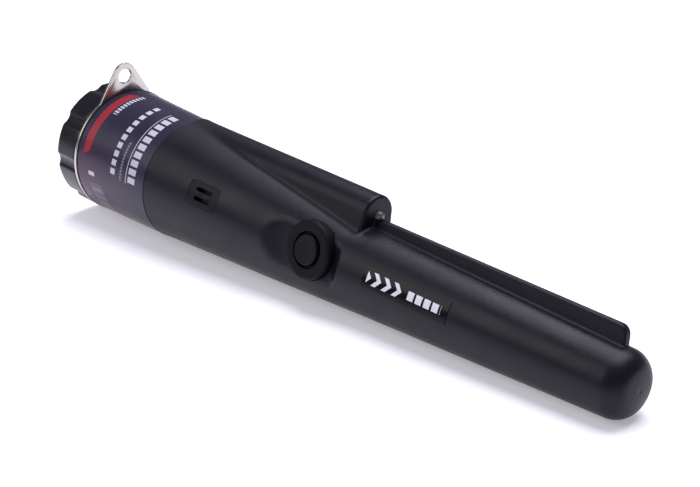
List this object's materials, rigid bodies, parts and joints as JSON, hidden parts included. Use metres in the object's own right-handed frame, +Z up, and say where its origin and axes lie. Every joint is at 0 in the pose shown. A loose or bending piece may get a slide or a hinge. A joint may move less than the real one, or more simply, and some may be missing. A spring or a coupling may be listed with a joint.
{
  "type": "pinpointer probe",
  "caption": "Tapered hand-held metal detecting pinpointer with a ribbed spine, scraping blade, push button, lamp, screw-on battery cap and steel lanyard ring.",
  "frame": {"origin": "centre of the battery cap's flat end face", "axes": "+Z up as the probe lies on a table; the body's axis runs towards +X and dips by about 3 degrees, so that handle and nose both touch the table; the button faces -Y"},
  "size_m": [0.2356, 0.0436, 0.0542],
  "materials": {
    "housing_plastic": "fine spark texture",
    "cap_plastic": "semi-gloss moulded",
    "seal_rubber": "matte",
    "pad_foam": "closed-cell foam",
    "nickel_steel": "polished nickel",
    "battery_jacket": "printed jacket",
    "plated_terminal": "plated",
    "fibre_board": "pressed fibre board",
    "plated_brass": "plated",
    "chassis_plastic": "moulded",
    "board_laminate": "solder mask",
    "zinc_steel": "zinc plated",
    "chip_epoxy": "moulded epoxy",
    "capacitor_sleeve": "shrink sleeve",
    "resistor_ceramic": "printed",
    "trimmer_plastic": "moulded",
    "inductor_ferrite": "ferrite",
    "connector_nylon": "moulded nylon",
    "switch_plastic": "moulded",
    "plunger_plastic": "moulded",
    "button_rubber": "soft matte",
    "grille_plastic": "fine texture",
    "dust_mesh": "woven mesh",
    "sounder_plastic": "moulded",
    "sounder_brass": "rolled",
    "motor_can": "drawn can",
    "weight_metal": "sintered",
    "clip_plastic": "moulded",
    "lamp_epoxy": "clear epoxy",
    "tinned_wire": "tinned",
    "rod_ferrite": "pressed ferrite",
    "bobbin_nylon": "moulded nylon",
    "enamelled_copper": "enamelled wire",
    "red_insulation": "insulation",
    "blue_insulation": "insulation",
    "label_vinyl": "printed satin vinyl",
    "sticker_vinyl": "printed gloss vinyl"
  },
  "bodies": {
    "housing": {"housing": "housing_plastic", "battery_case": "battery_jacket", "battery_terminals": "plated_terminal", "contact_plate": "fibre_board", "contact_snaps": "plated_brass", "chassis": "chassis_plastic", "main_board": "board_laminate", "board_screws": "zinc_steel", "microcontroller": "chip_epoxy", "amplifier_chips": "chip_epoxy", "capacitors": "capacitor_sleeve", "resistors": "resistor_ceramic", "trim_pot": "trimmer_plastic", "tuning_inductor": "inductor_ferrite", "coil_connector": "connector_nylon", "tact_switch": "switch_plastic", "button_boot": "button_rubber", "grille_plug": "grille_plastic", "grille_gasket": "dust_mesh", "sounder_case": "sounder_plastic", "sounder_disc": "sounder_brass", "vibration_motor": "motor_can", "motor_clip": "clip_plastic", "lamp": "lamp_epoxy", "lamp_seal": "seal_rubber", "lamp_leads": "tinned_wire", "ferrite_rod": "rod_ferrite", "coil_bobbin": "bobbin_nylon", "coil_winding": "enamelled_copper", "rod_collar": "pad_foam", "rod_seat": "pad_foam", "coil_leads": "enamelled_copper", "battery_leads": "red_insulation", "motor_leads": "blue_insulation", "sounder_leads": "tinned_wire", "wrap_label": "label_vinyl", "name_label": "sticker_vinyl"},
    "cap_carrier": {"pressure_pad": "pad_foam"},
    "battery_cap": {"battery_cap": "cap_plastic", "cap_seal": "seal_rubber"},
    "lanyard_ring": {"lanyard_ring": "nickel_steel"},
    "button": {"button_pad": "button_rubber", "switch_plunger": "plunger_plastic"},
    "motor_weight": {"motor_weight": "weight_metal"}
  },
  "joints": [
    {"name": "cap_travel", "type": "slide", "parent": "housing", "child": "cap_carrier", "axis": [-0.9984, 0, 0.0572], "range_m": [0, 0.006]},
    {"name": "cap_turn", "type": "hinge", "parent": "cap_carrier", "child": "battery_cap", "pos_m": [0, 0, 0], "axis": [-0.9984, 0, 0.0572], "range_deg": [0, 721]},
    {"name": "lanyard_ring_turn", "type": "hinge", "parent": "housing", "child": "lanyard_ring", "pos_m": [0.01152, 0, -0.00066], "axis": [0.9984, 0, -0.0572], "continuous": true},
    {"name": "button_press", "type": "slide", "parent": "housing", "child": "button", "axis": [-0.0161, 0.9598, -0.2802], "range_m": [0, 0.0006], "stiffness_N_per_m": 900, "springref_m": -0.0003},
    {"name": "motor_spin", "type": "hinge", "parent": "housing", "child": "motor_weight", "pos_m": [0.06986, 0.00483, -0.00618], "axis": [0.9984, 0, -0.0572], "continuous": true}
  ],
  "couplings": [
    {"joint": "cap_turn", "follows": "cap_travel", "rad_per_m": 2094.4}
  ]
}
